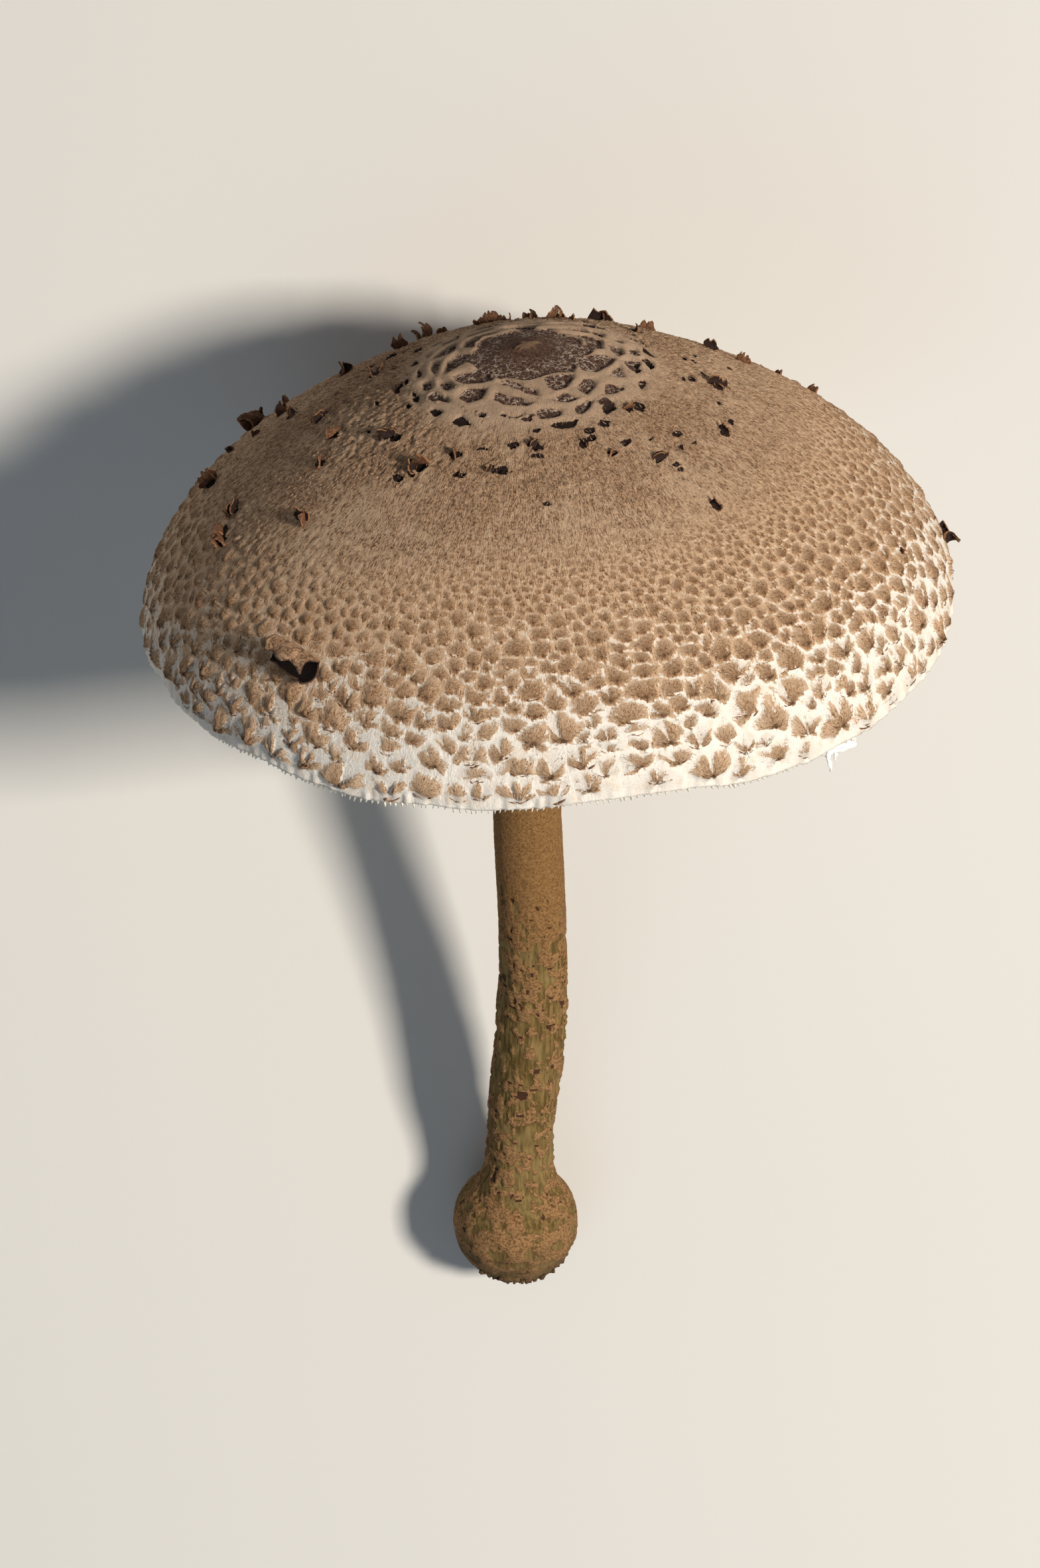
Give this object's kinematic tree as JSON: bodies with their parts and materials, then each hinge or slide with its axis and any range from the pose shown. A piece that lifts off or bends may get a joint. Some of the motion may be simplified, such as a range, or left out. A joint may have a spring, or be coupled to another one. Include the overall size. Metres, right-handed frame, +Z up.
{
  "type": "parasol mushroom",
  "caption": "Picked parasol mushroom lying on its cap's rim and its bulb, with a scaly domed cap, free gills, a loose ring and a slender snake-skin stem.",
  "frame": {"origin": "on the resting surface, in the middle of the footprint's box", "axes": "+Z up from the surface, +Y level from the bulb towards the cap, +X to the side"},
  "size_m": [0.184, 0.2396, 0.1687],
  "materials": {
    "cap_skin": "dry fibrous skin: dark crown disc, tan felt and brown scales over white flesh",
    "gill_flesh": "soft matt cream flesh",
    "stem_skin": "fine velvety snake-skin plates over pale fibrous flesh",
    "ring_veil": "dry felted veil, cream above and brown at the lips"
  },
  "bodies": {
    "root": {"cap": "cap_skin", "gills": "gill_flesh", "stem": "stem_skin", "ring": "ring_veil"}
  },
  "joints": []
}
